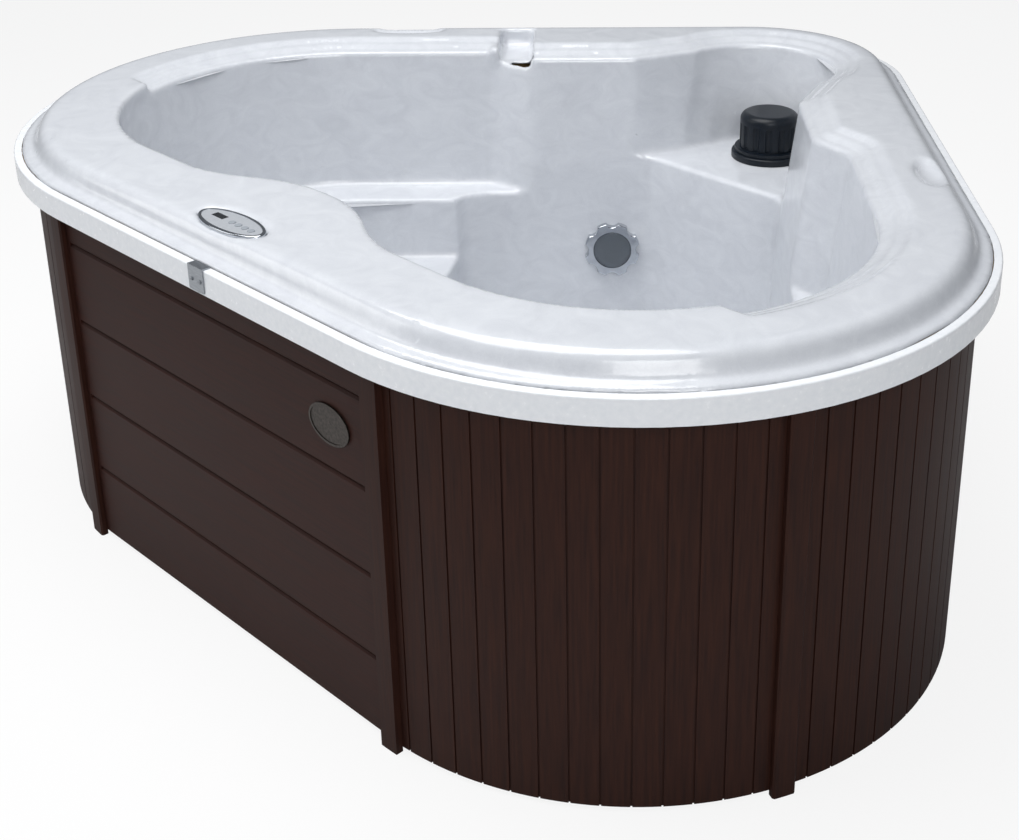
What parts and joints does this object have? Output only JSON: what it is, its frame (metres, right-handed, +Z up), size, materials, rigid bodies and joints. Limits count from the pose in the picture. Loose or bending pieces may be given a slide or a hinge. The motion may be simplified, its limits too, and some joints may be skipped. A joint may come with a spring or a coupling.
{
  "type": "hot tub",
  "caption": "Free-standing acrylic hot tub with a heart-shaped basin, rolled white rim, slatted dark skirt, lift-off access panel and corner filter",
  "frame": {"origin": "middle of the base at floor level, at the centre of the plan", "axes": "+X to the right for someone facing the access panel, +Y away from them towards the rear filter corner, +Z up"},
  "size_m": [1.9558, 1.6806, 0.737],
  "materials": {
    "acrylic_shell": "pearl gloss",
    "white_trim": "gloss",
    "clip_metal": "satin",
    "skirt_brown": "wood-grained matt",
    "badge_metal": "satin",
    "pan_black": "matt",
    "timber": "sawn",
    "chrome_ring": "polished",
    "panel_silver": "satin",
    "dark_window": "gloss",
    "lens": "gloss",
    "button_grey": "matt",
    "fitting_grey": "matt",
    "filter_black": "satin",
    "filter_media": "pleated",
    "pvc_white": "gloss",
    "pump_black": "matt",
    "motor_paint": "satin",
    "steel": "brushed",
    "box_grey": "powder coat"
  },
  "bodies": {
    "tub": {"apex_battens": "skirt_brown", "base_pan": "pan_black", "bottom_rail": "timber", "cable_gland": "fitting_grey", "clip_screws": "clip_metal", "control_bezel": "chrome_ring", "control_box": "box_grey", "control_box_cover": "box_grey", "control_face": "panel_silver", "corner_battens": "skirt_brown", "display_window": "dark_window", "drain_spigot": "fitting_grey", "filter_canister": "filter_black", "filter_flange": "filter_black", "frame_posts": "timber", "heater_tube": "steel", "jet_bodies": "fitting_grey", "light_bezel": "chrome_ring", "light_housing": "fitting_grey", "light_lens": "lens", "light_nut": "fitting_grey", "mounting_board": "timber", "panel_batten_left": "skirt_brown", "panel_batten_right": "skirt_brown", "panel_catches": "steel", "pipe_unions": "pvc_white", "pressure_pipe": "pvc_white", "pump_foot": "pump_black", "pump_motor": "motor_paint", "pump_wet_end": "pump_black", "return_manifold": "pvc_white", "shell": "acrylic_shell", "skirt_apex": "skirt_brown", "skirt_front_left": "skirt_brown", "skirt_front_right": "skirt_brown", "skirt_side_left": "skirt_brown", "skirt_side_right": "skirt_brown", "suction_covers": "fitting_grey", "suction_fittings": "fitting_grey", "suction_pipe": "pvc_white", "supply_bushing": "fitting_grey", "top_plate": "timber", "trim_band": "white_trim", "trim_clip": "clip_metal", "well_support": "timber"},
    "access_door": {"access_panel": "skirt_brown", "badge_plate": "badge_metal"},
    "filter_insert": {"filter_cartridge": "filter_media"},
    "filter_lid": {"filter_cap": "filter_black"},
    "pump_rotor": {"pump_shaft": "steel", "pump_impeller": "pump_black"},
    "drain_plug": {"drain_cap": "fitting_grey"},
    "jet_1": {"jet_face_1": "fitting_grey"},
    "jet_2": {"jet_face_2": "fitting_grey"},
    "jet_3": {"jet_face_3": "fitting_grey"},
    "jet_4": {"jet_face_4": "fitting_grey"},
    "pump_button_key": {"pump_button": "button_grey"},
    "light_button_key": {"light_button": "button_grey"},
    "warmer_button_key": {"warmer_button": "button_grey"},
    "cooler_button_key": {"cooler_button": "button_grey"}
  },
  "joints": [
    {"name": "access_panel_off", "type": "slide", "parent": "tub", "child": "access_door", "axis": [0, -1, 0], "range_m": [0, 0.15]},
    {"name": "filter_lift", "type": "slide", "parent": "tub", "child": "filter_insert", "axis": [0, 0, 1], "range_m": [0, 0.18]},
    {"name": "filter_cap_turn", "type": "hinge", "parent": "filter_insert", "child": "filter_lid", "pos_m": [0, 0.586, 0.508], "axis": [0, 0, 1], "range_deg": [0, 90]},
    {"name": "pump_spin", "type": "hinge", "parent": "tub", "child": "pump_rotor", "pos_m": [0.215, -0.66, 0.15], "axis": [1, 0, 0], "continuous": true},
    {"name": "drain_cap_turn", "type": "hinge", "parent": "tub", "child": "drain_plug", "pos_m": [0.55747, 0.35912, 0.068], "axis": [0.7117, 0.7025, 0], "range_deg": [0, 360]},
    {"name": "jet_1_turn", "type": "hinge", "parent": "tub", "child": "jet_1", "pos_m": [-0.336, -0.62983, 0.56], "axis": [0, 0.9925, 0.1219], "range_deg": [0, 180]},
    {"name": "jet_2_turn", "type": "hinge", "parent": "tub", "child": "jet_2", "pos_m": [-0.43866, -0.6278, 0.56], "axis": [0.1037, 0.9871, 0.1219], "range_deg": [0, 180]},
    {"name": "jet_3_turn", "type": "hinge", "parent": "tub", "child": "jet_3", "pos_m": [0.336, -0.62983, 0.56], "axis": [0, 0.9925, 0.1219], "range_deg": [0, 180]},
    {"name": "jet_4_turn", "type": "hinge", "parent": "tub", "child": "jet_4", "pos_m": [0.43866, -0.6278, 0.56], "axis": [-0.1037, 0.9871, 0.1219], "range_deg": [0, 180]},
    {"name": "pump_button_press", "type": "slide", "parent": "tub", "child": "pump_button_key", "axis": [0, 0, -1], "range_m": [0, 0.0008], "stiffness_N_per_m": 400, "springref_m": -0.0008},
    {"name": "light_button_press", "type": "slide", "parent": "tub", "child": "light_button_key", "axis": [0, 0, -1], "range_m": [0, 0.0008], "stiffness_N_per_m": 400, "springref_m": -0.0008},
    {"name": "warmer_button_press", "type": "slide", "parent": "tub", "child": "warmer_button_key", "axis": [0, 0, -1], "range_m": [0, 0.0008], "stiffness_N_per_m": 400, "springref_m": -0.0008},
    {"name": "cooler_button_press", "type": "slide", "parent": "tub", "child": "cooler_button_key", "axis": [0, 0, -1], "range_m": [0, 0.0008], "stiffness_N_per_m": 400, "springref_m": -0.0008}
  ]
}
